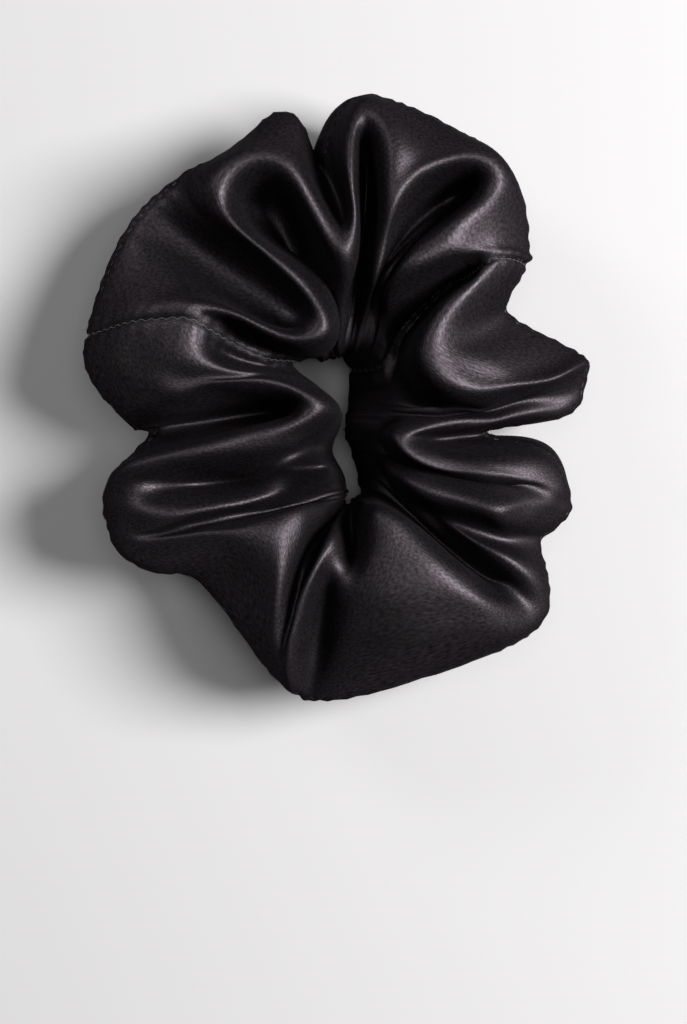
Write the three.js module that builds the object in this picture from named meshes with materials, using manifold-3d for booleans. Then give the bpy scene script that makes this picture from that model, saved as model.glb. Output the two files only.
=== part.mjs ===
// An oversized satin scrunchie lying flat: a gathered fabric sleeve, sewn from two panels, round an elastic loop.
//
// Frame: millimetres, +Z up along the ring's axis, the ring resting on z = 0, origin under the centre of its box.
// Directions round the ring are clock angles: 0 is +Y, and they grow clockwise seen from above.
//
// Each panel is the space that its gathered fabric fills, round a channel for the elastic. Seams are grooves, and
// the sewing threads lie in them: along the outer edge, and round the sleeve where one panel meets the other.

import * as THREE from "three";
import { mergeVertices } from "three/addons/utils/BufferGeometryUtils.js";
import Module from "manifold-3d";

const wasm = await Module();
wasm.setup();

// ---- Driving dimensions ----

const HOLE = { halfWidth: 13, halfLength: 18, centreY: -8 }; // the ring's opening, an upright oval
const SLEEVE = { midHeight: 28.5, halfHeight: 34, squareness: 2.4 }; // flattened where it rests
const SEAM_ANGLES = { joining: 46, closing: 306 }; // clock angles of the two cross seams
const SEAM_GAPS = { joining: 0.4, closing: 1.2 }; // between the two panels' ends
const SEAM_GROOVE = { depth: 1.8, halfWidth: 1.5 };
const THREAD = { radius: 0.2, depth: 0.8, spacing: 0.35 }; // spacing: each thread's distance from the seam's middle
const CLEARANCE = 0.3; // between pieces that touch on the real object
const ELASTIC = { width: 6, thickness: 1.2, fromHoleWall: 8, height: 21, overlapDegrees: 36 };
const CHANNEL = { halfWidth: 3.6, halfHeight: 4.6, corner: 1 };
const WHIPSTITCH = { turns: 6, shareOfLap: 0.7 };

const STEP_DEGREES = 6; // round the ring
const SECTION_POINTS = 14; // round the sleeve
const THREAD_SIDES = 5;

// The outer edge as [clock angle, distance from the hole's centre]: puffs, and the notches between them.
const EDGE = [
  [-4, 76], [6, 94], [19, 87], [33, 85], [46, 76], [56, 68], [66, 67], [78, 73.5], [86, 66], [92, 48],
  [100, 65], [110, 70], [118, 66], [125, 73], [139, 82], [160, 76.5], [174, 77], [187, 79], [197, 72],
  [212, 61], [224, 58], [233, 68], [245, 71.5], [257, 67], [269, 55], [278, 68], [286, 75], [301, 77],
  [314, 83.5], [328, 84], [342, 83], [350, 90],
];

// ---- The ring's own shape ----

/** The outer radius at a clock angle: a cubic curve through EDGE. */
function outerRadius(clock) {
  const turn = THREE.MathUtils.euclideanModulo(clock - EDGE[0][0], 360) + EDGE[0][0];
  const next = EDGE.findIndex(([angle]) => angle > turn);
  const i = (next < 0 ? EDGE.length : next) - 1;
  const point = (k) => {
    const [angle, radius] = EDGE[THREE.MathUtils.euclideanModulo(k, EDGE.length)];
    return { angle: angle + 360 * Math.floor(k / EDGE.length), radius };
  };
  const [before, start, end, after] = [point(i - 1), point(i), point(i + 1), point(i + 2)];
  const span = end.angle - start.angle;
  const t = (turn - start.angle) / span;
  const slopeIn = ((end.radius - before.radius) / (end.angle - before.angle)) * span;
  const slopeOut = ((after.radius - start.radius) / (after.angle - start.angle)) * span;
  const blend = t * t * (3 - 2 * t);
  return (
    start.radius + (end.radius - start.radius) * blend +
    slopeIn * t * (1 - t) ** 2 - slopeOut * t * t * (1 - t)
  );
}

/** The hole's wall at a clock angle. */
function holeRadius(clock) {
  const a = THREE.MathUtils.degToRad(clock);
  return 1 / Math.hypot(Math.sin(a) / HOLE.halfWidth, Math.cos(a) / HOLE.halfLength);
}

/** A point by clock angle, distance from the hole's centre and height, moved clockwise by `shift`. */
function place(clock, radius, height, shift = 0) {
  const a = THREE.MathUtils.degToRad(clock) + Math.asin(shift / radius);
  return new THREE.Vector3(radius * Math.sin(a), HOLE.centreY + radius * Math.cos(a), height);
}

/** The sleeve's section at a clock angle, `depth` under its surface: a loop of [distance from the centre, height]. */
function sleeveSection(clock, depth) {
  const [inner, outer] = [holeRadius(clock), outerRadius(clock)];
  const middle = (inner + outer) / 2;
  const halfWidth = (outer - inner) / 2 - depth;
  const halfHeight = SLEEVE.halfHeight - depth;
  const rounded = (x) => Math.sign(x) * Math.abs(x) ** (2 / SLEEVE.squareness);
  return Array.from({ length: SECTION_POINTS }, (_, k) => {
    const t = (2 * Math.PI * (k + 0.5)) / SECTION_POINTS;
    const height = SLEEVE.midHeight + halfHeight * rounded(Math.sin(t));
    return [middle + halfWidth * rounded(Math.cos(t)), Math.max(height, depth)];
  });
}

/** The sleeve's section with the edge seam's groove in it. */
function panelSection(clock, depth) {
  const loop = sleeveSection(clock, depth);
  const edge = (loop[0][0] + loop[SECTION_POINTS - 1][0]) / 2;
  const floor = edge - SEAM_GROOVE.depth;
  const { midHeight } = SLEEVE;
  const { halfWidth } = SEAM_GROOVE;
  const groove = [
    [edge, midHeight - halfWidth], [floor, midHeight - halfWidth / 2],
    [floor, midHeight + halfWidth / 2], [edge, midHeight + halfWidth],
  ];
  return [...loop, ...groove];
}

/** The elastic's middle line, `lift` further out. */
function elasticPoint(clock, lift) {
  return place(clock, holeRadius(clock) + ELASTIC.fromHoleWall + lift, ELASTIC.height);
}

/** The elastic's channel: a box section with its corners cut. */
function channelSection(clock) {
  const { halfWidth, halfHeight, corner } = CHANNEL;
  const quarter = [[halfWidth, halfHeight - corner], [halfWidth - corner, halfHeight]];
  const signs = [[1, 1], [-1, 1], [-1, -1], [1, -1]];
  const loop = signs.flatMap(([x, z], k) => {
    const points = quarter.map(([dx, dz]) => [x * dx, z * dz]);
    return k % 2 ? points.reverse() : points;
  });
  const middle = holeRadius(clock) + ELASTIC.fromHoleWall;
  return loop.map(([dx, dz]) => [middle + dx, ELASTIC.height + dz]);
}

// ---- Solids ----

/** A closed geometry through loops of equally many points. `caps` are its two end loops drawn flat. */
function loftedSolid(loops, caps) {
  const count = loops[0].length;
  const positions = loops.flat().flatMap((p) => [p.x, p.y, p.z]);
  const faces = [];
  for (let i = 0; i < loops.length - 1; i++) {
    for (let k = 0; k < count; k++) {
      const [a, b] = [i * count + k, i * count + ((k + 1) % count)];
      faces.push([a, b, a + count], [b, b + count, a + count]);
    }
  }
  const last = (loops.length - 1) * count;
  const [start, end] = caps.map((loop) =>
    THREE.ShapeUtils.triangulateShape(loop.map(([x, y]) => new THREE.Vector2(x, y)), []));
  start.forEach(([a, b, c]) => faces.push([a, c, b]));
  end.forEach(([a, b, c]) => faces.push([last + a, last + b, last + c]));
  const geometry = new THREE.BufferGeometry();
  geometry.setAttribute("position", new THREE.Float32BufferAttribute(positions, 3));
  geometry.setIndex(faces.flat());
  return geometry;
}

/** Sweeps flat sections round the ring. Each station is {clock, shift, section}. */
function sweep(stations) {
  const loops = stations.map(({ clock, shift, section }) =>
    section.map(([radius, height]) => place(clock, radius, height, shift)));
  return loftedSolid(loops, [stations[0].section, stations[stations.length - 1].section]);
}

function toManifold(geometry) {
  const bare = geometry.clone();
  bare.deleteAttribute("normal");
  bare.deleteAttribute("uv");
  const merged = mergeVertices(bare, 1e-4);
  return new wasm.Manifold(new wasm.Mesh({
    numProp: 3,
    vertProperties: merged.attributes.position.array,
    triVerts: new Uint32Array(merged.index.array),
  }));
}

function toGeometry(solid) {
  const { vertProperties, triVerts } = solid.getMesh();
  const geometry = new THREE.BufferGeometry();
  geometry.setAttribute("position", new THREE.BufferAttribute(Float32Array.from(vertProperties), 3));
  geometry.setIndex(new THREE.BufferAttribute(Uint32Array.from(triVerts), 1));
  geometry.computeVertexNormals();
  return geometry;
}

/** Even clock angles between two, near STEP_DEGREES apart, with the two left out. */
function clocksBetween(from, to) {
  const steps = Math.round((to - from) / STEP_DEGREES);
  return Array.from({ length: steps - 1 }, (_, i) => from + ((to - from) * (i + 1)) / steps);
}

/** One panel's gathered fabric between two cross seams, with a groove at each seam and a channel right through. */
function panel(from, to, gapFrom, gapTo) {
  const station = (clock, shift, depth) => ({ clock, shift, section: panelSection(clock, depth) });
  const { depth, halfWidth } = SEAM_GROOVE;
  const fabric = sweep([
    station(from, gapFrom / 2, depth),
    station(from, gapFrom / 2 + halfWidth, 0),
    ...clocksBetween(from, to).map((clock) => station(clock, 0, 0)),
    station(to, -gapTo / 2 - halfWidth, 0),
    station(to, -gapTo / 2, depth),
  ]);
  const channel = sweep([
    { clock: from, shift: -1, section: channelSection(from) },
    ...clocksBetween(from, to).map((clock) => ({ clock, shift: 0, section: channelSection(clock) })),
    { clock: to, shift: 1, section: channelSection(to) },
  ]);
  return toGeometry(toManifold(fabric).subtract(toManifold(channel)));
}

/** Points of a thread's own section. */
function threadOutline() {
  return Array.from({ length: THREAD_SIDES }, (_, k) => {
    const t = (2 * Math.PI * k) / THREAD_SIDES;
    return [THREAD.radius * Math.cos(t), THREAD.radius * Math.sin(t)];
  });
}

/** Thread along a smooth line through points. */
function threadAlong(points, steps) {
  const outline = threadOutline().map(([x, y]) => new THREE.Vector2(x, y));
  const extrudePath = new THREE.CatmullRomCurve3(points, false, "centripetal");
  return new THREE.ExtrudeGeometry(new THREE.Shape(outline), { steps, extrudePath, bevelEnabled: false });
}

/** Thread in the outer edge's groove, all the way round from the closing seam, at the panels' own stations. */
function edgeThread(side) {
  const { joining, closing } = SEAM_ANGLES;
  const pastSeam = SEAM_GAPS.joining / 2 + SEAM_GROOVE.halfWidth;
  const station = (clock, shift) => {
    const edge = sleeveSection(clock, 0)[0][0] - THREAD.depth;
    const height = SLEEVE.midHeight + side * THREAD.spacing;
    return { clock, shift, section: threadOutline().map(([x, y]) => [edge + x, height + y]) };
  };
  return sweep([
    ...clocksBetween(closing - 360, joining).map((clock) => station(clock, 0)),
    station(joining, -pastSeam),
    station(joining, pastSeam),
    ...clocksBetween(joining, closing).map((clock) => station(clock, 0)),
  ]);
}

/** Thread round the sleeve in a cross seam's groove, which stops short of the outer edge. */
function crossThread(clock, shift) {
  const points = sleeveSection(clock, THREAD.depth).map(([radius, height]) => place(clock, radius, height, shift));
  return threadAlong(points, 2 * SECTION_POINTS);
}

/** A flat strip bent into a loop round the hole, with its ends lapped opposite the short panel. */
function elasticBand() {
  const turn = 360 + ELASTIC.overlapDegrees;
  const from = 180 - ELASTIC.overlapDegrees / 2;
  const lapLift = ELASTIC.thickness + CLEARANCE;
  const steps = Math.round(turn / STEP_DEGREES);
  const corners = [[-1, -1], [1, -1], [1, 1], [-1, 1]];
  const loops = Array.from({ length: steps + 1 }, (_, i) => {
    const share = i / steps;
    const middle = elasticPoint(from + turn * share, lapLift * (share - 0.5));
    const outward = new THREE.Vector3(middle.x, middle.y - HOLE.centreY, 0).normalize();
    return corners.map(([radial, height]) => {
      const corner = middle.clone().addScaledVector(outward, (radial * ELASTIC.thickness) / 2);
      return corner.setZ(middle.z + (height * ELASTIC.width) / 2);
    });
  });
  return loftedSolid(loops, [corners, corners]);
}

/** Thread wound round the elastic's lapped ends. */
function whipstitch() {
  const clear = CLEARANCE + THREAD.radius;
  const halfRadial = ELASTIC.thickness * 1.2 + clear;
  const halfHeight = ELASTIC.width / 2 + clear;
  const corners = [[-1, -1], [1, -1], [1, 1], [-1, 1]];
  const count = WHIPSTITCH.turns * corners.length;
  const points = Array.from({ length: count + 1 }, (_, k) => {
    const [radial, height] = corners[k % corners.length];
    const clock = 180 + ELASTIC.overlapDegrees * WHIPSTITCH.shareOfLap * (k / count - 0.5);
    return elasticPoint(clock, radial * halfRadial).setZ(ELASTIC.height + height * halfHeight);
  });
  return threadAlong(points, count * 3);
}

// ---- The assembly ----

const satin = () => new THREE.MeshStandardMaterial({ color: 0x141114, roughness: 0.38, metalness: 0 });
const knitted = () => new THREE.MeshStandardMaterial({ color: 0x1c1b1c, roughness: 0.85, metalness: 0 });
const polyester = () => new THREE.MeshStandardMaterial({ color: 0x171417, roughness: 0.5, metalness: 0 });

const scrunchie = new THREE.Group();

function add(name, geometry, material) {
  const mesh = new THREE.Mesh(geometry, material);
  mesh.name = name;
  scrunchie.add(mesh);
}

const { joining, closing } = SEAM_ANGLES;
add("long_panel", panel(joining, closing, SEAM_GAPS.joining, SEAM_GAPS.closing), satin());
add("short_panel", panel(closing, joining + 360, SEAM_GAPS.closing, SEAM_GAPS.joining), satin());
add("elastic_band", elasticBand(), knitted());
add("elastic_whipstitch", whipstitch(), polyester());
add("edge_seam_needle_thread", edgeThread(1), polyester());
add("edge_seam_bobbin_thread", edgeThread(-1), polyester());
add("joining_seam_needle_thread", crossThread(joining, THREAD.spacing), polyester());
add("joining_seam_bobbin_thread", crossThread(joining, -THREAD.spacing), polyester());
add("closing_seam_thread", crossThread(closing, 0), polyester());

// The origin goes under the centre of the box.
const box = new THREE.Box3().setFromObject(scrunchie);
scrunchie.position.set(-(box.min.x + box.max.x) / 2, -(box.min.y + box.max.y) / 2, -box.min.z);

export default scrunchie;
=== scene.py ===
import math

import bmesh
import bpy
import numpy as np
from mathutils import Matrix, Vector

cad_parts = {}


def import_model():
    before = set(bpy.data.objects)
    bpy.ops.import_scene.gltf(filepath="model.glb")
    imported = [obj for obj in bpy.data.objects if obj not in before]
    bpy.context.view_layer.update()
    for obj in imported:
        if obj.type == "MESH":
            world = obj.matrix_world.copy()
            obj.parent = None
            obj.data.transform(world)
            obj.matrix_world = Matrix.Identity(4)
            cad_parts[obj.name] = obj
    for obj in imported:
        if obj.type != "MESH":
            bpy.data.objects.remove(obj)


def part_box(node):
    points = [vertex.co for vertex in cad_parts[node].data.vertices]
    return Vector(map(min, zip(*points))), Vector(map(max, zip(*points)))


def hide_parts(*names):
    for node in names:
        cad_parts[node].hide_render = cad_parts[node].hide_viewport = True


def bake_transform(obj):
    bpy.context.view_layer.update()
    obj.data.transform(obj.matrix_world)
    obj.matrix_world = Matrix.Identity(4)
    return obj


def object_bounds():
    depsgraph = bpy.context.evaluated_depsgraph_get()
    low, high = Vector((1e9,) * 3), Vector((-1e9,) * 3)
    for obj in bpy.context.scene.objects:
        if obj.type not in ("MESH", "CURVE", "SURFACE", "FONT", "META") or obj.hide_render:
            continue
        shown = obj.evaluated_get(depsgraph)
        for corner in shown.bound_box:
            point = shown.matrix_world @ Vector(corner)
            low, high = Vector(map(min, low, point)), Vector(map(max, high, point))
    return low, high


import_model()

# A black satin scrunchie, lying flat. Its sleeve is a closed tube round the ring: each of its ribs leaves
# the hole's wall, climbs a crest, drops to the outer edge's seam and comes back underneath. The ribs give
# the folds, Blender's cloth settles them, and the tube is then cut at its two cross seams into the long and
# the short panel. Lengths are in metres, apart from the folds' own, which are in millimetres.

CAD_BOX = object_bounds()
MM = 0.001

# ---- The cloth that was cut ----

CUT_LENGTH = 0.49  # both panels end to end, along the sleeve
CUT_WIDTH = 0.155  # once round the sleeve
CLOTH_THICKNESS = 0.0004
TWILL_PERIOD = 0.0011  # of the weave's diagonal lines
TWILL_ANGLE = 52  # degrees

# ---- Seams and threads ----

NEAR_SEAM_ROWS = (0, 0.0006, 0.0013, 0.0022, 0.0034, 0.005)  # shares of the way round from a cross seam
ALLOWANCE_ROWS = ((5, 0.0020), (3, 0.0020), (1, 0.0019), (0, 0.0016))  # (row over it, how far in)
CROSS_SEAM_DEPTH = 0.0007
EDGE_SEAM_DEPTH = 0.0008
SEAM_HALF_WIDTH = 0.001
PUCKER_HEIGHT = 0.00028
PUCKER_SPACING = 0.0048
PUCKER_DRIFT, DRIFT_PUCKERS = 1.4, 4.3  # how far their spacing drifts, in radians, and over how many
PUCKER_REACH = 0.0045
THREAD_RADIUS = 0.00016
THREAD_SIDES = 5
THREAD_ASIDE = 0.00035  # each thread's distance from the seam's middle
THREAD_LIFT = 0.00002
THREAD_DIP = 0.0003
DIP_SHARPNESS = 6
STITCH_POINTS = 6
EDGE_STITCH, CROSS_STITCH, SLIP_STITCH = 0.0026, 0.0024, 0.0032
SLIP_REACH, SLIP_RISE = 0.00025, 0.00005  # of a slip stitch, to each side and over the cloth

# ---- The elastic, inside the sleeve round the hole ----

HOLE_HALF = (0.013, 0.018)  # half the hole's width and height
ELASTIC_FROM_WALL = 0.008  # from there out to the elastic's middle
ELASTIC_WIDTH, ELASTIC_THICKNESS, ELASTIC_GAP = 0.006, 0.0012, 0.0003
ELASTIC_LAP = 36  # degrees of overlap
LAP_CLOCK = 180  # its place: clock angles are in degrees, from the top
ELASTIC_ROWS, ELASTIC_COLUMNS = 260, 24
ELASTIC_CORNER = 0.35  # how round the band's section is: 0 is a rectangle and 1 is an ellipse
WHIP_TURNS, WHIP_TURN_POINTS = 6, 16
WHIP_CORNER = 0.5
WHIP_SHARE = 0.7  # of the overlap that the whipstitch covers
WHIP_HALF_OUT = ELASTIC_THICKNESS * 1.2 + THREAD_RADIUS * 2  # round both layers, with some room
WHIP_HALF_HEIGHT = ELASTIC_WIDTH / 2 + THREAD_RADIUS * 2
WHIP_SIGHT = 3  # degrees to either side, for the direction along the elastic

# ---- The folds, in millimetres round the ring's box centre, clockwise seen from above ----
# Each rib: the hole's wall (x, y), then (x, y, z) on the inner slope, the crest, the outer slope and the
# edge seam. Where a hollow lies behind a fold of its own, that fold's top comes before the inner slope.

RIBS = {
    "top notch": ((1, 12), (2, 25, 43), (4.5, 37.5, 56), (0, 55, 36), (-5.5, 66, 30)),
    "top notch, right": ((1.5, 12.5), (6, 30, 36), (7, 47, 57), (2, 58, 40), (-4, 70, 31)),
    "top puff, left arm": ((2, 13), (8.5, 50, 33), (3.5, 63, 56), (-0.8, 68, 42), (-2, 75, 31)),
    "top puff, slot": ((3, 14), (8.7, 62, 31), (7.5, 81, 48), (6.5, 85, 40), (5, 86.5, 31)),
    "top puff, slot's right side": (
        (4, 14), (9.5, 52, 33), (13.5, 66, 57), (17, 76, 50), (15, 85.5, 32)),
    "top puff, inner point": (
        (5, 13), (9.5, 31, 51), (11.5, 41, 56), (15, 51, 58), (24, 67, 52), (27, 80.5, 32)),
    "top puff, over the oval": (
        (6, 13), (10.5, 32, 48), (18, 47, 39), (22.5, 60, 57), (32, 70.5, 50), (37, 75, 33)),
    "oval pocket": ((7, 14), (12.5, 35, 46), (29, 56, 30), (36, 67, 56), (42.5, 70, 47), (45, 70, 33)),
    "oval pocket, far end": (
        (8, 13.5), (13.5, 35, 45), (33, 57, 30), (44.5, 65.5, 56), (49, 64.5, 46), (50.8, 62, 33)),
    "under the oval": (
        (9, 13), (14.5, 34.5, 44), (34, 54, 32), (45.5, 59, 56), (51, 57, 47), (53.5, 55, 33)),
    "lit band": (
        (10, 12), (14, 32, 53), (20, 40.5, 57), (30, 47.5, 58), (46, 49.5, 50), (55.3, 47, 33)),
    "lit band, lower side": (
        (11.5, 11), (15, 28, 50), (22, 32.5, 57), (32, 37, 57.5), (46, 42, 49.5), (56, 41, 33)),
    "joining seam": (
        (13, 9), (19.5, 20, 24), (31, 31, 25), (46, 38.5, 53), (51, 38.5, 47), (55.5, 37.5, 34)),
    "right puff, upper arm": ((14, 6), (23, 25, 27), (35, 30, 57), (43, 26, 44), (49, 28, 31)),
    "right puff, inner point": ((14.5, 3), (17.5, 11, 31), (22, 13, 58), (36, 15, 47), (50, 22.5, 30)),
    "right puff, belly": ((14.5, 1), (18.5, 4, 32), (25, 5, 58), (43, 11, 49.5), (60, 18, 31)),
    "right puff, lower arm": ((15, -1), (26, -3, 33), (37, -1.5, 57), (51, 5, 48), (68, 14, 32)),
    "right puff, tip": ((15, -3), (45, -2, 45), (65, 6, 49), (70, 9, 43), (72.5, 10.5, 36)),
    "right puff, crease": ((14.7, -4), (34, -3.5, 38), (50, -2, 37), (61, -1, 35), (71, 3, 31)),
    "right puff, underside": ((14.5, -5), (28, -5, 36), (43, -5, 43), (58, -4.5, 41), (69, -4.5, 30)),
    "right notch": ((14, -8), (12.5, -9, 42), (15, -10.5, 53), (28, -12, 32), (41, -10, 30)),
    "right lower puff, top": ((13, -11), (13, -16, 36), (25, -21, 54), (43, -16, 50), (54, -12, 31)),
    "right lower puff, shoulder": (
        (13, -12), (26, -23.5, 42), (45, -22, 53), (57, -18, 48), (63, -17, 32)),
    "right lower puff, pocket": (
        (13, -14), (42, -24.5, 43), (59, -24, 48), (65, -25.5, 40), (67, -27, 32)),
    "right lower puff, band": ((12, -16), (14, -18, 40), (20, -23, 53), (45, -31.5, 57), (66, -34, 32)),
    "right lower puff, band's edge": (
        (12, -18), (16, -24, 44), (26, -29, 55), (46, -36, 53), (60, -39, 31)),
    "lower right valley": ((12, -20), (20, -29.5, 38), (36, -37, 41), (49, -40, 38), (58.5, -41, 30)),
    "lower right rim": ((11, -22), (25, -36, 37), (45, -42.5, 52), (55, -46.5, 46), (60.5, -50, 31)),
    "lower right pocket": ((10, -24), (44, -53, 36), (56, -59.5, 43), (59.5, -61, 38), (60, -62, 31)),
    "bottom panel, right side": (
        (9, -26), (23, -36, 49), (36, -52, 57.5), (48, -66, 48), (50, -70.5, 32)),
    "bottom panel, right half": ((8, -27), (14, -31, 55), (27, -48, 59), (37, -66, 52), (36, -76, 33)),
    "bottom panel, middle": ((6, -28), (10, -31, 55), (18, -50, 59), (20, -70, 52), (17, -82, 33)),
    "bottom panel, left half": ((5, -28.5), (8, -33, 52), (10, -52, 58), (8, -70, 49), (3, -86, 32)),
    "bottom slot": ((4, -29), (5, -42, 32), (2.5, -53, 53), (0, -70, 45), (-4, -86.5, 31)),
    "bottom valley": ((3, -30), (0, -34, 46), (-1, -39, 54), (-5, -60, 41), (-8, -86, 30)),
    "bottom ridge, right": (
        (2.5, -30), (-4, -42, 47), (-9.5, -55, 57), (-12.5, -73, 51), (-11, -85, 31)),
    "bottom crease": ((2.5, -29.5), (-10, -48, 43), (-15.5, -73, 46), (-15, -80, 40), (-14, -83.5, 31)),
    "bottom ridge, left": (
        (2.5, -29), (-9, -41, 48), (-15.5, -54, 56), (-19, -68, 47), (-19.5, -79, 30)),
    "lower left hollow": ((2.5, -28.5), (-8, -32, 53), (-16, -41, 57), (-26, -55, 43), (-32, -61, 30)),
    "left lower puff, hem": (
        (2.5, -28), (-12, -31, 52), (-27, -38, 57), (-34, -45, 42), (-40, -50, 29)),
    "left lower puff, hem's end": (
        (2.4, -27), (-20, -33, 49), (-45, -42, 52), (-50, -47, 42), (-51, -51, 30)),
    "left lower puff, corner": (
        (2.3, -26), (-36, -36.5, 46), (-59, -42, 48), (-63, -42.5, 40), (-62, -44, 31)),
    "left lower puff, ridge": (
        (2.2, -25), (-18, -28, 49), (-44, -33, 55), (-59, -33.5, 46), (-66, -35.5, 31)),
    "lower tongue": (
        (1.5, -21), (-3, -19.5, 56), (-34, -24, 32), (-57, -25.5, 47), (-63.5, -28, 41), (-67, -29, 31)),
    "left lower puff, top band": (
        (-2, -14), (-14, -16, 50), (-42, -15.5, 56), (-57, -17.5, 48), (-63.5, -20.5, 31)),
    "upper tongue": ((2, -5), (2, -4, 44), (-3, -4, 56), (-25, -5, 27), (-52, -9, 30)),
    "upper tongue, top arm": ((-2, 1), (-10, 5.5, 49), (-24, 4.5, 57), (-33, -2.5, 36), (-55, -9, 30)),
    "left puff, lower rim": ((-6, 4), (-20, 7, 52), (-42, -1, 55), (-52, -6, 46), (-59, -8.5, 31)),
    "left puff, lower belly": ((-9, 6), (-26, 6.5, 54), (-40, 6, 57), (-62, 3, 47), (-68, 0, 31)),
    "left puff, triangle's rim": (
        (-12, 7.5), (-26, 7.5, 47), (-37.5, 10, 58), (-62, 8, 48), (-72, 7, 31)),
    "left puff, triangle": (
        (-13.5, 9), (-20, 9.5, 37), (-31, 12, 36), (-41, 17, 57.5), (-61, 14, 48), (-72.5, 12, 31)),
    "closing seam": (
        (-13, 10.5), (-19, 9.5, 41), (-27, 14, 50), (-39.5, 22, 57.5), (-57, 20.5, 50), (-71.5, 17, 31)),
    "left puff, upper slit": (
        (-11, 11.5), (-17, 14, 36), (-28, 19.5, 38), (-40.5, 25.5, 58), (-57, 27, 47), (-69, 27, 31)),
    "hook, lower arm": ((-9, 12), (-17, 12.5, 38), (-24, 21, 58), (-46, 34, 44), (-63, 42, 31)),
    "hook, turn": ((-7, 12), (-7, 11, 38), (-9.5, 13, 57), (-44, 39, 34), (-58, 51, 31)),
    "hook": ((-5, 12), (2, 14, 40), (-1, 18.5, 58), (-40, 44, 32), (-54, 56, 31)),
    "long ridge, lower half": ((-4, 11), (0, 33, 36), (-13.5, 33, 58), (-36, 49, 40), (-48, 61, 31)),
    "long ridge, upper half": ((-3, 11.5), (-13, 43, 32), (-31, 48, 57), (-42, 57, 43), (-41, 66, 31)),
    "upper left pocket": ((-2, 12), (-17, 48, 32), (-35, 58, 56), (-36, 64.5, 45), (-33, 69, 31)),
    "over the pocket": ((-1.5, 12), (-15, 52, 32), (-27, 66, 56), (-24, 70.5, 46), (-25, 75, 29)),
    "behind the notch, left": (
        (-1.3, 12), (-13, 50, 33), (-20, 66.5, 57), (-18, 72, 45), (-21, 82, 27)),
    "behind the notch": ((-1, 12), (-11, 47, 34), (-13, 63, 57), (-13, 72, 45), (-15.5, 84.5, 27)),
    "behind the notch, right": (
        (-0.5, 12), (-9, 44, 36), (-9.5, 58, 57), (-10, 69, 45), (-10.5, 82.5, 28)),
    "lit slope": ((0, 12), (-5, 40, 39), (-6, 52, 56), (-8, 63, 45), (-8, 77, 29)),
    "top notch, left": ((0.5, 12), (-1, 29, 41), (-1, 44.5, 56.5), (-3.5, 58, 40), (-6.5, 70, 30)),
}
CAGE_SIZE = (142.0, 170.5, 62.5)  # the box that the ribs are drawn in
HOLE_CENTRE = (0.0, -7.7)
WALL_HEIGHT = 29.0  # of the hole's wall, where each rib starts
SILL_SHARE = 0.6  # how far the wall's upper end lies towards the next point
FOLDED_SILL_RISE = 0.25  # the same for its height, where the next point is the top of a fold of its own
REST_HEIGHT = 0.8  # of the lowest cloth's middle over the surface
LEAST_GAP = 4  # between two ribs, where the stations are shared out

# Down a low fold's side: (share of the way, share of the drop).
GENTLE = ((0.30, 0.10), (0.55, 0.33), (0.80, 0.68))
# Down a deep fold's side: (distance from the crest, the most that it is of the way, share of the drop).
STEEP = ((3.5, 0.22, 0.06), (7.0, 0.48, 0.34), (11.0, 0.74, 0.82))
LOW_DROP, DEEP_DROP = 7, 17  # of a low and of a deep fold
EDGE_POINT = 6 + 2 * len(STEEP)  # the edge seam's place in a loop

# Underneath, from the edge seam in: the share of the way out from the wall, how much pleats and tucks add
# to it, the height, and how much they add to that.
UNDERSIDE = (
    (0.97, 0.015, 0.008, 20, 0, 0),
    (0.85, 0.06, 0.03, 8, -2, 0),
    (0.62, 0, 0, 4, -3, 1),
    (0.33, 0, 0, 6, 4, 0),
)
UNDER_WALL = (0.03, 14)  # the last point, just under the wall: the share of the way out, and the height
PLEATS, TUCKS = (11, 1), (23, 0.5)  # (how many once round the ring, phase)
SWAY, SWAY_WAVES, SWAY_START, SWAY_LEAN = 0.06, 7, 2, 3  # how the pleats lean to and fro, in radians

# The fold on the far side that shows through the hole: how far it comes in and up, and its middle and half
# its spread in degrees, clockwise from the top.
FAR_FOLD_REACH, FAR_FOLD_RISE = 15, 2
FAR_FOLD_MIDDLE, FAR_FOLD_HALF = 78, 80

STATIONS = 240  # round the ring, while the cloth settles
EDGE_COLUMN = 36  # points from the hole's wall to the edge seam; the back has as many
GIRTH_POINTS = 2 * EDGE_COLUMN
CURVE_POINTS = 200  # along half a rib, before they are spaced evenly

# ---- How the cloth settles ----

HOLD = {"crest": 0.2, "hollow": 0.8, "back": 0.5, "edge": 0.4}  # from 0, free, to 1, fixed
HOLLOW_DEPTH = 0.018  # below the crest, where a point counts as a hollow
PRESSURE = 0.15
SETTLE_FRAMES = 10
SETTLE_LIMIT = 0.006
SMOOTHING_PASSES = 3

PANEL_ROWS = 400  # round both panels, in the finished mesh
PANEL_COLUMNS = 124


# ---- Curves ----


def cubic(points, t, closed):
    """Catmull-Rom through points (n, ...), at parameters t that count the points."""
    n = len(points)
    whole = np.floor(t).astype(int)
    if not closed:
        whole = np.clip(whole, 0, n - 2)
    f = (t - whole).reshape(-1, *[1] * (points.ndim - 1))

    def at(step):
        i = whole + step
        return points[i % n] if closed else points[np.clip(i, 0, n - 1)]

    before, start, end, after = at(-1), at(0), at(1), at(2)
    slope = (end - before) * f
    curve = (2 * before - 5 * start + 4 * end - after) * f**2
    twist = (3 * start - before - 3 * end + after) * f**3
    return 0.5 * (2 * start + slope + curve + twist)


def evenly(path, count):
    """count points along a dense path, evenly by length, with its last point left out."""
    steps = np.linalg.norm(np.diff(path, axis=0), axis=1)
    length = np.concatenate([[0], np.cumsum(steps)])
    wanted = np.linspace(0, length[-1], count + 1)[:-1]
    return np.stack([np.interp(wanted, length, path[:, k]) for k in range(3)], axis=1)


# ---- The sleeve ----


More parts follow.
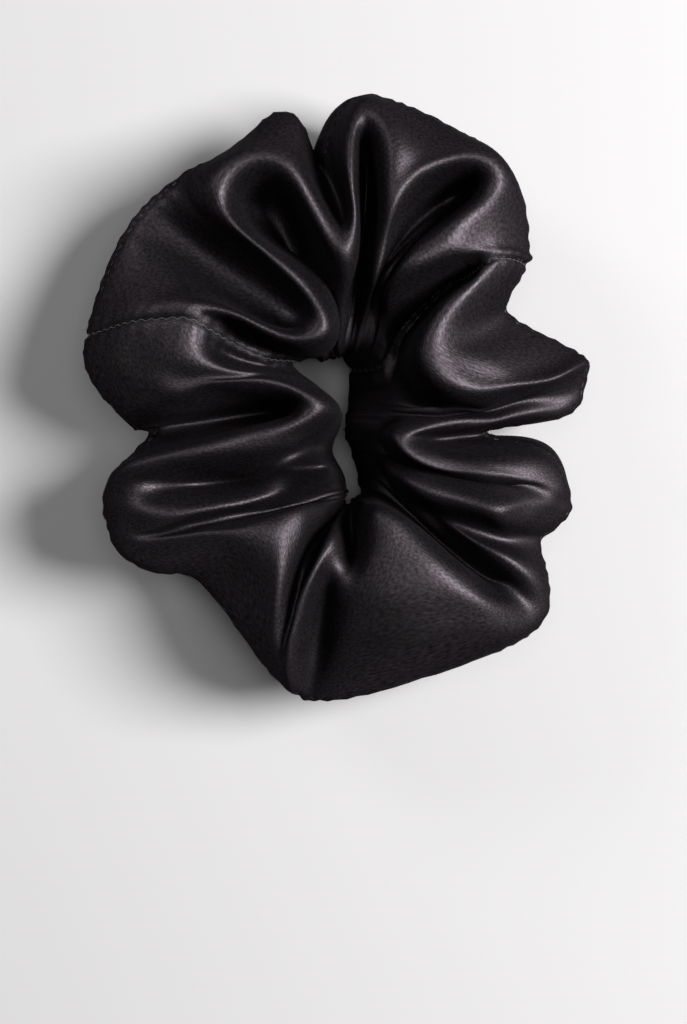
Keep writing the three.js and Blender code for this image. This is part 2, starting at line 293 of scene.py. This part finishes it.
def flank(crest, foot):
    """Points from a crest down to a hollow's foot, both left out. A deep fold has steep sides."""
    crest, foot = np.array(crest, float), np.array(foot, float)
    way = np.linalg.norm((foot - crest)[:2])
    depth = min(max((crest[2] - foot[2] - LOW_DROP) / (DEEP_DROP - LOW_DROP), 0), 1)
    points = []
    for (gentle_share, gentle_drop), (distance, most, steep_drop) in zip(GENTLE, STEEP):
        share = gentle_share + (min(distance / way, most) - gentle_share) * depth
        point = crest + (foot - crest) * share
        point[2] = crest[2] + (foot[2] - crest[2]) * (gentle_drop + (steep_drop - gentle_drop) * depth)
        points.append(point)
    return points


def far_fold(around):
    """1 at the middle of the fold that shows through the hole, and 0 away from it."""
    middle, half = math.radians(FAR_FOLD_MIDDLE), math.radians(FAR_FOLD_HALF)
    away = abs((around - middle + math.pi) % (2 * math.pi) - math.pi) / half
    return (1 - min(away, 1) ** 2) ** 2


def underside(wall, edge):
    """A rib's points underneath, from the edge seam in to the wall."""
    centre = np.array(HOLE_CENTRE)
    reach = np.hypot(*(np.array(edge[:2]) - centre))
    around = math.atan2(edge[0] - centre[0], edge[1] - centre[1])
    hole = np.hypot(*(np.array(wall) - centre))
    pleat, tuck = (math.sin(around * count + phase) for count, phase in (PLEATS, TUCKS))
    points = []
    for share, share_pleat, share_tuck, height, height_pleat, height_tuck in UNDERSIDE:
        out = share + share_pleat * pleat + share_tuck * tuck
        radius = hole + (reach - hole) * out
        turn = around + SWAY * math.sin(around * SWAY_WAVES + SWAY_START + out * SWAY_LEAN)
        level = height + height_pleat * pleat + height_tuck * tuck
        points.append([centre[0] + radius * math.sin(turn), centre[1] + radius * math.cos(turn), level])
    out, height = UNDER_WALL
    fold = far_fold(around)
    across = wall[0] + (edge[0] - wall[0]) * out - FAR_FOLD_REACH * fold
    points.append([across, wall[1] + (edge[1] - wall[1]) * out, height + FAR_FOLD_RISE * fold])
    return points


def rib_loops():
    """Each rib as a closed loop of points: over the front from wall to edge, and back underneath."""
    loops = []
    for wall, *tops, inner, crest, outer, edge in RIBS.values():
        rise, fall = flank(crest, inner)[::-1], flank(crest, outer)
        foot = np.array((*wall, WALL_HEIGHT), float)
        top = np.array(tops[0] if tops else (foot + np.array(inner)) / 2, float)
        sill = foot + (top - foot) * SILL_SHARE
        if tops:
            sill[2] = foot[2] + (top[2] - foot[2]) * FOLDED_SILL_RISE
        loops.append([foot, sill, top, inner, *rise, crest, *fall, outer, edge, *underside(wall, edge)])
    return np.array(loops, float)


def sleeve_points():
    """The placed sleeve, (STATIONS, GIRTH_POINTS, 3) in metres, and each rib's share of the way round."""
    loops = rib_loops()
    ahead = np.roll(loops, -1, axis=0) - loops
    gaps = np.maximum(np.linalg.norm(ahead[:, 1:EDGE_POINT + 1], axis=2).mean(axis=1), LEAST_GAP)
    total = np.concatenate([[0], np.cumsum(gaps)])
    along = np.linspace(0, total[-1], STATIONS, endpoint=False)
    stations = cubic(loops, np.interp(along, total, np.arange(len(loops) + 1)), closed=True)
    sleeve = np.zeros((STATIONS, GIRTH_POINTS, 3))
    for k, loop in enumerate(stations):
        front = cubic(loop, np.linspace(0, EDGE_POINT, CURVE_POINTS), closed=True)
        back = cubic(loop, np.linspace(EDGE_POINT, len(loop), CURVE_POINTS), closed=True)
        sleeve[k] = np.concatenate([evenly(front, EDGE_COLUMN), evenly(back, EDGE_COLUMN)])
    sleeve[..., 2] = np.maximum(sleeve[..., 2], REST_HEIGHT)
    low, high = (np.array(corner) for corner in CAD_BOX)
    sleeve = sleeve * (high - low) / np.array(CAGE_SIZE)
    sleeve[..., :2] += (low + high)[:2] / 2
    return sleeve, {name: total[k] / total[-1] for k, name in enumerate(RIBS)}


def finer(grid, rows, columns):
    """The same closed sleeve at `rows` (shares of the way round) and with `columns` points to its girth."""
    around = cubic(grid, np.asarray(rows) * len(grid), closed=True)
    wanted = np.linspace(0, grid.shape[1], columns, endpoint=False)
    return cubic(around.transpose(1, 0, 2), wanted, closed=True).transpose(1, 0, 2)


def unit(vectors):
    return vectors / np.maximum(np.linalg.norm(vectors, axis=-1, keepdims=True), 1e-12)


def outward(grid):
    """Unit normals of a panel's grid, which is closed across, pointing out of the sleeve."""
    across = np.roll(grid, -1, axis=1) - np.roll(grid, 1, axis=1)
    return unit(np.cross(np.gradient(grid, axis=0), across))


# ---- Settling the cloth ----


def hold_weights(sleeve):
    """How firmly each point is held in the settling: the wall most, then hollows, and crests least."""
    front = sleeve[:, :EDGE_COLUMN, 2]
    below = front.max(axis=1, keepdims=True) - sleeve[..., 2]
    weights = HOLD["crest"] + (HOLD["hollow"] - HOLD["crest"]) * np.clip(below / HOLLOW_DEPTH, 0, 1)
    weights[:, EDGE_COLUMN:] = HOLD["back"]
    weights[:, EDGE_COLUMN] = HOLD["edge"]
    weights[:, [1, -1]] = HOLD["hollow"]
    weights[:, 0] = 1
    return weights


def add_cloth(piece, held):
    """A cloth modifier for thin satin, a little blown up, held by a vertex group."""
    cloth = piece.modifiers.new("cloth", "CLOTH")
    settings = cloth.settings
    settings.quality = 5
    settings.mass = 0.3
    settings.tension_stiffness = settings.compression_stiffness = 15
    settings.shear_stiffness = 5
    settings.bending_stiffness = 8
    settings.tension_damping = settings.compression_damping = settings.shear_damping = 5
    settings.vertex_group_mass = held.name
    settings.pin_stiffness = 1
    settings.use_pressure = True
    settings.uniform_pressure_force = PRESSURE
    settings.effector_weights.gravity = 0
    collisions = cloth.collision_settings
    collisions.use_collision = False
    collisions.use_self_collision = True
    collisions.self_distance_min = 0.001
    collisions.collision_quality = 2
    cloth.point_cache.frame_start, cloth.point_cache.frame_end = 1, SETTLE_FRAMES


def settle(sleeve):
    """The sleeve after Blender's cloth has eased its folds. No point moves further than SETTLE_LIMIT."""
    piece = new_object("settling", sleeve, grid_faces(STATIONS, GIRTH_POINTS, True))
    held = piece.vertex_groups.new(name="held")
    levels = np.round(hold_weights(sleeve).ravel(), 1)
    for level in np.unique(levels):
        held.add(np.flatnonzero(levels == level).tolist(), float(level), "REPLACE")
    add_cloth(piece, held)
    scene = bpy.context.scene
    first = scene.frame_current
    for frame_number in range(1, SETTLE_FRAMES + 1):
        scene.frame_set(frame_number)
    shaped = piece.evaluated_get(bpy.context.evaluated_depsgraph_get()).data
    settled = np.zeros(sleeve.size)
    shaped.vertices.foreach_get("co", settled)
    scene.frame_set(first)
    mesh = piece.data
    bpy.data.objects.remove(piece)
    bpy.data.meshes.remove(mesh)
    move = settled.reshape(sleeve.shape) - sleeve
    length = np.linalg.norm(move, axis=2, keepdims=True)
    settled = sleeve + move * np.minimum(1, SETTLE_LIMIT / np.maximum(length, 1e-9))
    for axis in (0, 1) * SMOOTHING_PASSES:
        settled = (np.roll(settled, 1, axis=axis) + 2 * settled + np.roll(settled, -1, axis=axis)) / 4
    return settled


# ---- Meshes ----


def grid_faces(rows, columns, close_rows):
    """Quads over a grid whose columns close on themselves, and its rows too if asked."""
    i, j = np.meshgrid(np.arange(rows if close_rows else rows - 1), np.arange(columns), indexing="ij")
    start, after, beside = i * columns, (i + 1) % rows * columns, (j + 1) % columns
    return np.stack([start + j, after + j, after + beside, start + beside], -1).reshape(-1, 4)


def new_object(name, vertices, faces):
    mesh = bpy.data.meshes.new(name)
    mesh.from_pydata(np.asarray(vertices).reshape(-1, 3).tolist(), [], np.asarray(faces).tolist())
    mesh.update()
    piece = bpy.data.objects.new(name, mesh)
    bpy.context.scene.collection.objects.link(piece)
    return piece


def apply_modifiers(piece):
    """The piece's modifiers become its mesh."""
    depsgraph = bpy.context.evaluated_depsgraph_get()
    shaped = bpy.data.meshes.new_from_object(piece.evaluated_get(depsgraph), depsgraph=depsgraph)
    piece.modifiers.clear()
    old = piece.data
    piece.data = shaped
    bpy.data.meshes.remove(old)


def face_outward(piece):
    """The closed piece's faces all point out."""
    solid = bmesh.new()
    solid.from_mesh(piece.data)
    bmesh.ops.recalc_face_normals(solid, faces=solid.faces)
    solid.to_mesh(piece.data)
    solid.free()


def finish_piece(piece, material, nodes):
    """The piece's material and smooth shading, its transform baked in, and the CAD nodes that it stands for
    hidden.
    """
    piece.data.materials.append(material)
    piece.data.polygons.foreach_set("use_smooth", [True] * len(piece.data.polygons))
    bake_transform(piece)
    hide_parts(*nodes)
    return piece


# ---- Materials ----

VARY_LOW, VARY_HIGH = 0.3, 0.7  # the noise's values that stand for the two ends of what it varies
WAVE_SCALE = math.tau / 20  # a wave texture's scale times its period


def new_material(name, colour, roughness, **constants):
    """A Principled material. Returns it, its node tree and its shader."""
    material = bpy.data.materials.new(name)
    material.use_nodes = True
    shader = material.node_tree.nodes["Principled BSDF"]
    shader.inputs["Base Color"].default_value = (*colour, 1)
    shader.inputs["Roughness"].default_value = roughness
    for socket, value in constants.items():
        shader.inputs[socket.replace("_", " ")].default_value = value
    return material, material.node_tree, shader


def add_node(tree, kind, **settings):
    node = tree.nodes.new(kind)
    for name, value in settings.items():
        if name in node.inputs:
            node.inputs[name].default_value = value
        else:
            setattr(node, name, value)
    return node


def vary(tree, coordinates, socket, scale, low, high):
    """Drives a socket with soft noise, from one colour to another (or greys, for a value)."""
    noise = add_node(tree, "ShaderNodeTexNoise", Scale=scale, Detail=3.0)
    ramp = add_node(tree, "ShaderNodeValToRGB")
    for element, position, colour in zip(ramp.color_ramp.elements, (VARY_LOW, VARY_HIGH), (low, high)):
        element.position, element.color = position, (*colour, 1)
    tree.links.new(coordinates, noise.inputs["Vector"])
    tree.links.new(noise.outputs["Fac"], ramp.inputs["Fac"])
    tree.links.new(ramp.outputs["Color"], socket)


def waves(tree, coordinates, direction, period, distortion):
    """Bands across a direction in degrees, `period` metres apart."""
    turned = add_node(tree, "ShaderNodeMapping")
    turned.inputs["Rotation"].default_value = (0, 0, math.radians(direction))
    texture = add_node(
        tree, "ShaderNodeTexWave", Scale=WAVE_SCALE / period, Distortion=distortion, Detail=1.0)
    tree.links.new(coordinates, turned.inputs["Vector"])
    tree.links.new(turned.outputs["Vector"], texture.inputs["Vector"])
    return texture.outputs["Fac"]


def bump(tree, shader, layers):
    """Stacks (height socket, depth in metres) layers of relief on the shader's normal."""
    below = None
    for height, depth in layers:
        relief = add_node(tree, "ShaderNodeBump", Distance=depth, Strength=1.0)
        tree.links.new(height, relief.inputs["Height"])
        if below:
            tree.links.new(below, relief.inputs["Normal"])
        below = relief.outputs["Normal"]
    tree.links.new(below, shader.inputs["Normal"])


def satin_material():
    """Black satin: a fine diagonal weave, a little cloudy in colour and shine. The weave reflects much the
    same at every angle, as metal does, and not brighter edge on, as a smooth plastic would."""
    material, tree, shader = new_material(
        "black_satin", (0.034, 0.0293, 0.033), 0.54, Metallic=1, Specular_Tint=(0.25, 0.25, 0.25, 1))
    cut = add_node(tree, "ShaderNodeUVMap", uv_map="cut").outputs["UV"]
    dark, light = (0.018, 0.0154, 0.0174), (0.048, 0.0414, 0.0468)
    shiny, matt = (0.50, 0.50, 0.50), (0.58, 0.58, 0.58)
    vary(tree, cut, shader.inputs["Base Color"], scale=1300, low=dark, high=light)
    vary(tree, cut, shader.inputs["Roughness"], scale=90, low=shiny, high=matt)
    grain = add_node(tree, "ShaderNodeTexNoise", Scale=1400.0, Detail=2.0)
    tree.links.new(cut, grain.inputs["Vector"])
    twill = waves(tree, cut, TWILL_ANGLE, TWILL_PERIOD, distortion=5.0)
    bump(tree, shader, ((twill, 0.00001), (grain.outputs["Fac"], 0.00009)))
    return material


def elastic_material():
    """Black braided elastic: matt, with cords along it and the braid's picks across."""
    material, tree, shader = new_material("braided_elastic", (0.014, 0.013, 0.014), 0.85, Sheen_Weight=0.25)
    cut = add_node(tree, "ShaderNodeUVMap", uv_map="cut").outputs["UV"]
    dark, light = (0.010, 0.010, 0.010), (0.020, 0.018, 0.020)
    vary(tree, cut, shader.inputs["Base Color"], scale=200, low=dark, high=light)
    cords = waves(tree, cut, 0, 0.0009, distortion=0.5)
    picks = waves(tree, cut, 55, 0.0007, distortion=0.5)
    bump(tree, shader, ((cords, 0.00012), (picks, 0.00006)))
    return material


def thread_material():
    """Black polyester thread, plied."""
    material, tree, shader = new_material("polyester_thread", (0.013, 0.012, 0.013), 0.5, Sheen_Weight=0.15)
    cut = add_node(tree, "ShaderNodeUVMap", uv_map="cut").outputs["UV"]
    shiny, matt = (0.42, 0.42, 0.42), (0.58, 0.58, 0.58)
    vary(tree, cut, shader.inputs["Roughness"], scale=400, low=shiny, high=matt)
    bump(tree, shader, ((waves(tree, cut, 35, 0.0004, distortion=0.3), 0.00005),))
    return material


# ---- The panels ----


def panel_rows(start, end, count):
    """Shares of the way round for a panel's rows, closer together at its two seams."""
    span = (end - start) % 1
    near = np.array(NEAR_SEAM_ROWS)
    between = np.linspace(near[-1], span - near[-1], count)[1:-1]
    return start + np.concatenate([near, between, span - near[::-1]])


def seam_relief(away, along, depth):
    """How far the cloth stands out at a distance from a seam: pulled in along it and puckered beside it."""
    pulled = np.exp(-((away / SEAM_HALF_WIDTH) ** 2))
    drift = PUCKER_DRIFT * np.sin(math.tau * along / (DRIFT_PUCKERS * PUCKER_SPACING))
    ripple = np.sin(math.tau * along / PUCKER_SPACING + drift)
    return PUCKER_HEIGHT * ripple * (1 - pulled) * np.exp(-((away / PUCKER_REACH) ** 2)) - depth * pulled


def lengths(grid, axis):
    """Length along the grid's lines from their first point, in the grid's own shape."""
    steps = np.linalg.norm(np.diff(grid, axis=axis), axis=2)
    first = np.zeros_like(np.take(steps, [0], axis=axis))
    return np.concatenate([first, np.cumsum(steps, axis=axis)], axis=axis)


def sewn(grid, normal):
    """A panel's grid with its two cross seams and the edge seam pulled in and puckered."""
    around, across = lengths(grid, 0), lengths(grid, 1)
    edge = grid.shape[1] // 2
    from_edge = np.abs(across - across[:, edge:edge + 1])
    relief = seam_relief(around, across[:1], CROSS_SEAM_DEPTH)
    relief += seam_relief(around[-1:] - around, across[-1:], CROSS_SEAM_DEPTH)
    relief += seam_relief(from_edge, around[:, edge:edge + 1], EDGE_SEAM_DEPTH)
    return grid + normal * np.maximum(relief, -CROSS_SEAM_DEPTH)[..., None]


def allowance(grid, normal):
    """The rows turned in at a panel's first end, the raw edge first."""
    return [grid[row] - normal[row] * depth for row, depth in ALLOWANCE_ROWS]


def lay_out(piece, rows, columns, along, width):
    """The piece's flat layout: `along` is its length at each row, `width` once across its columns."""
    across = np.linspace(0, width, columns + 1)
    i, j = np.divmod(np.arange((rows - 1) * columns), columns)
    corners = np.stack([
        np.stack([across[j], along[i]], -1), np.stack([across[j], along[i + 1]], -1),
        np.stack([across[j + 1], along[i + 1]], -1), np.stack([across[j + 1], along[i]], -1)], 1)
    layer = piece.data.uv_layers.new(name="cut")
    layer.data.foreach_set("uv", corners.ravel())


def panel(name, grid, cut_length, material):
    """One satin panel: a tube of cloth with its ends turned in at the cross seams. Returns the piece, its
    sewn surface and the normals there."""
    normal = outward(grid)
    surface = sewn(grid, normal)
    first = allowance(grid, normal)
    last = allowance(grid[::-1], normal[::-1])[::-1]
    cloth = np.concatenate([first, surface, last])
    rows, columns = cloth.shape[:2]
    piece = new_object(f"satin_{name}", cloth, grid_faces(rows, columns, False))
    lay_out(piece, rows, columns, np.linspace(0, cut_length, rows), CUT_WIDTH)
    thicken = piece.modifiers.new("thickness", "SOLIDIFY")
    thicken.thickness, thicken.offset = CLOTH_THICKNESS, -1
    apply_modifiers(piece)
    face_outward(piece)
    finish_piece(piece, material, [name])
    return piece, surface, normal


# ---- Threads and elastic ----


def lofted(name, rings, closed, width):
    """A piece through rings of points, closed on itself or capped."""
    rings = np.asarray(rings)
    rows, columns = rings.shape[:2]
    if closed:
        rings = np.concatenate([rings, rings[:1]])
        rows += 1
    piece = new_object(name, rings, grid_faces(rows, columns, False))
    steps = np.linalg.norm(np.diff(rings.mean(axis=1), axis=0), axis=1)
    lay_out(piece, rows, columns, np.concatenate([[0], np.cumsum(steps)]), width)
    solid = bmesh.new()
    solid.from_mesh(piece.data)
    if closed:
        bmesh.ops.remove_doubles(solid, verts=solid.verts, dist=1e-7)
    else:
        bmesh.ops.holes_fill(solid, edges=solid.edges, sides=columns)
    bmesh.ops.recalc_face_normals(solid, faces=solid.faces)
    solid.to_mesh(piece.data)
    solid.free()
    return piece


def thread(name, path, up, closed, material):
    """Sewing thread along a path of points, with a direction across it at each."""
    around = np.roll(path, -1, axis=0) - np.roll(path, 1, axis=0)
    along = unit(around if closed else np.gradient(path, axis=0))
    side = unit(np.cross(along, up))
    lift = np.cross(side, along)
    turn = np.arange(THREAD_SIDES) * math.tau / THREAD_SIDES
    rings = path[:, None] + THREAD_RADIUS * (
        np.cos(turn)[None, :, None] * lift[:, None] + np.sin(turn)[None, :, None] * side[:, None])
    piece = lofted(f"sewn_{name}", rings, closed, math.tau * THREAD_RADIUS)
    return finish_piece(piece, material, [name])


def seam_points(line, normal, aside, stitch):
    """Points along a closed seam line, STITCH_POINTS to a stitch, and the directions out and aside."""
    line, normal, aside = (np.concatenate([v, v[:1]]) for v in (line, normal, aside))
    position = np.concatenate([[0], np.cumsum(np.linalg.norm(np.diff(line, axis=0), axis=1))])
    count = round(position[-1] / stitch) * STITCH_POINTS
    wanted = np.linspace(0, position[-1], count, endpoint=False)
    points, out, across = (
        np.stack([np.interp(wanted, position, values[:, k]) for k in range(3)], axis=1)
        for values in (line, normal, aside))
    return points, unit(out), unit(across)


def stitched(line, normal, aside, shift, stitch):
    """A lockstitch along a closed seam line: the thread lies on the cloth and dips into it at each end of a
    stitch. Returns its path and the directions away from the cloth."""
    points, out, across = seam_points(line, normal, aside, stitch)
    share = np.arange(len(points)) / STITCH_POINTS
    dip = np.abs(np.cos(math.pi * share)) ** DIP_SHARPNESS
    return points + across * shift + out * (THREAD_LIFT - THREAD_DIP * dip)[:, None], out


def hand_stitched(line, normal, aside, stitch):
    """Slip stitches to and fro over a closed seam line."""
    points, out, across = seam_points(line, normal, aside, stitch)
    swing = np.sin(math.tau * np.arange(len(points)) / STITCH_POINTS)
    reach = across * (swing * SLIP_REACH)[:, None]
    return points + reach + out * (THREAD_LIFT + SLIP_RISE * swing**2)[:, None], out


ELASTIC_MIDDLE = np.array(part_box("elastic_band")).mean(axis=0)


def elastic_point(clock, lift, height):
    """A point on the elastic's middle line, which runs round the hole, by clock angle in degrees."""
    a = math.radians(clock)
    hole = 1 / math.hypot(math.sin(a) / HOLE_HALF[0], math.cos(a) / HOLE_HALF[1])
    radius = hole + ELASTIC_FROM_WALL + lift
    return ELASTIC_MIDDLE + np.array((radius * math.sin(a), radius * math.cos(a), height))


def rounded(angle, corner):
    """A point on a rounded square of half width 1: `corner` is 0 for a square and 1 for a circle."""
    c, s = math.cos(angle), math.sin(angle)
    return math.copysign(abs(c) ** corner, c), math.copysign(abs(s) ** corner, s)


def elastic_band(material):
    """A flat braided band bent into a loop, with its ends lapped at the bottom."""
    angles = [math.tau * (k + 0.5) / ELASTIC_COLUMNS for k in range(ELASTIC_COLUMNS)]
    section = [rounded(angle, ELASTIC_CORNER) for angle in angles]
    rings = []
    for share in np.linspace(0, 1, ELASTIC_ROWS):
        clock = LAP_CLOCK - ELASTIC_LAP / 2 + (360 + ELASTIC_LAP) * share
        lift = (ELASTIC_THICKNESS + ELASTIC_GAP) * (share - 0.5)
        rings.append([
            elastic_point(clock, lift + ELASTIC_THICKNESS / 2 * out, ELASTIC_WIDTH / 2 * up)
            for out, up in section])
    piece = lofted("braided_elastic_band", rings, False, 2 * (ELASTIC_WIDTH + ELASTIC_THICKNESS))
    return finish_piece(piece, material, ["elastic_band"])


def elastic_whipstitch(material):
    """Thread wound round the elastic's lapped ends."""
    path, along = [], []
    for share in np.linspace(0, 1, WHIP_TURNS * WHIP_TURN_POINTS):
        out, height = rounded(math.tau * WHIP_TURNS * share, WHIP_CORNER)
        clock = LAP_CLOCK + ELASTIC_LAP * WHIP_SHARE * (share - 0.5)
        path.append(elastic_point(clock, WHIP_HALF_OUT * out, WHIP_HALF_HEIGHT * height))
        along.append(elastic_point(clock + WHIP_SIGHT, 0, 0) - elastic_point(clock - WHIP_SIGHT, 0, 0))
    return thread("elastic_whipstitch", np.array(path), np.array(along), False, material)


# ---- Making ----


def make_panels(settled, joining, closing, material):
    """The long and the short panel. Returns each one's sewn surface and the normals there."""
    long_share = (closing - joining) % 1
    surfaces = []
    for name, start, end, share in (
            ("long_panel", joining, closing, long_share),
            ("short_panel", closing, joining, 1 - long_share)):
        rows = panel_rows(start, end, round(PANEL_ROWS * share))
        grid = finer(settled, rows, PANEL_COLUMNS)
        piece, surface, normal = panel(name, grid, CUT_LENGTH * share, material)
        surfaces.append((surface, normal))
    return surfaces


def sew(surfaces, material):
    """The threads of the edge seam, the joining seam and the closing seam."""
    (long_surface, long_normal), (short_surface, short_normal) = surfaces
    surface = np.concatenate([long_surface[:-1], short_surface[:-1]])
    normal = np.concatenate([long_normal[:-1], short_normal[:-1]])
    edge = PANEL_COLUMNS // 2
    across = unit(surface[:, edge + 1] - surface[:, edge - 1])
    for name, side in (("edge_seam_needle_thread", -1), ("edge_seam_bobbin_thread", 1)):
        path, out = stitched(surface[:, edge], normal[:, edge], across, side * THREAD_ASIDE, EDGE_STITCH)
        thread(name, path, out, True, material)
    along = unit(long_surface[1] - long_surface[0])
    for name, side in (("joining_seam_needle_thread", 1), ("joining_seam_bobbin_thread", -1)):
        path, out = stitched(long_surface[0], long_normal[0], along, side * THREAD_ASIDE, CROSS_STITCH)
        thread(name, path, out, True, material)
    along = unit(short_surface[1] - short_surface[0])
    path, out = hand_stitched(short_surface[0], short_normal[0], along, SLIP_STITCH)
    thread("closing_seam_thread", path, out, True, material)


def make_scrunchie():
    placed, shares = sleeve_points()
    settled = settle(placed)
    settled[..., 2] = np.maximum(settled[..., 2], REST_HEIGHT * MM)
    satin, knit, polyester = satin_material(), elastic_material(), thread_material()
    surfaces = make_panels(settled, shares["joining seam"], shares["closing seam"], satin)
    sew(surfaces, polyester)
    elastic_band(knit)
    elastic_whipstitch(polyester)


make_scrunchie()


# ---- Floor, light and camera ----

FLOOR_HALF, FLOOR_COLOUR, FLOOR_ROUGHNESS = 2.5, (0.34, 0.334, 0.337, 1), 0.9
WORLD_STRENGTH = 0.03
RING_MIDDLE = (0, 0, 0.03)  # what the lights are aimed at
LENS, SENSOR = 85, 36
VIEW_HEIGHT = 0.2867  # of the view, at VIEW_LEVEL
VIEW_LEVEL = 0.038  # over the surface
VIEW_DROP = 0.0321  # from the ring's centre down to the view's
VIEW_ASIDE = 0.002


def soft_light(name, place, size, power):
    light = bpy.data.lights.new(name, "AREA")
    light.shape, light.size, light.energy = "DISK", size, power
    lamp = bpy.data.objects.new(name, light)
    lamp.location = place
    lamp.rotation_euler = (Vector(RING_MIDDLE) - lamp.location).to_track_quat("-Z", "Y").to_euler()
    bpy.context.scene.collection.objects.link(lamp)


def floor():
    corners = [(x * FLOOR_HALF, y * FLOOR_HALF, 0) for x, y in ((-1, -1), (1, -1), (1, 1), (-1, 1))]
    piece = new_object("floor", corners, [(0, 1, 2, 3)])
    material = bpy.data.materials.new("pale_wall")
    material.use_nodes = True
    shader = material.node_tree.nodes["Principled BSDF"]
    shader.inputs["Base Color"].default_value = FLOOR_COLOUR
    shader.inputs["Roughness"].default_value = FLOOR_ROUGHNESS
    piece.data.materials.append(material)


def camera():
    data = bpy.data.cameras.new("camera")
    data.sensor_fit, data.sensor_height, data.lens = "VERTICAL", SENSOR, LENS
    rig = bpy.data.objects.new("camera", data)
    rig.location = (VIEW_ASIDE, -VIEW_DROP, VIEW_LEVEL + VIEW_HEIGHT * LENS / SENSOR)
    bpy.context.scene.collection.objects.link(rig)
    bpy.context.scene.camera = rig


def world():
    made = bpy.data.worlds.new("studio")
    made.use_nodes = True
    made.node_tree.nodes["Background"].inputs["Color"].default_value = (1, 1, 1, 1)
    made.node_tree.nodes["Background"].inputs["Strength"].default_value = WORLD_STRENGTH
    bpy.context.scene.world = made


floor()
world()
soft_light("key", (0.90, 0.12, 1.02), size=0.6, power=52)
soft_light("fill", (0.05, 0.05, 1.38), size=0.6, power=5)
soft_light("rim", (-0.80, 0.75, 0.72), size=0.5, power=6)
camera()
bpy.context.scene.view_settings.view_transform = "Standard"
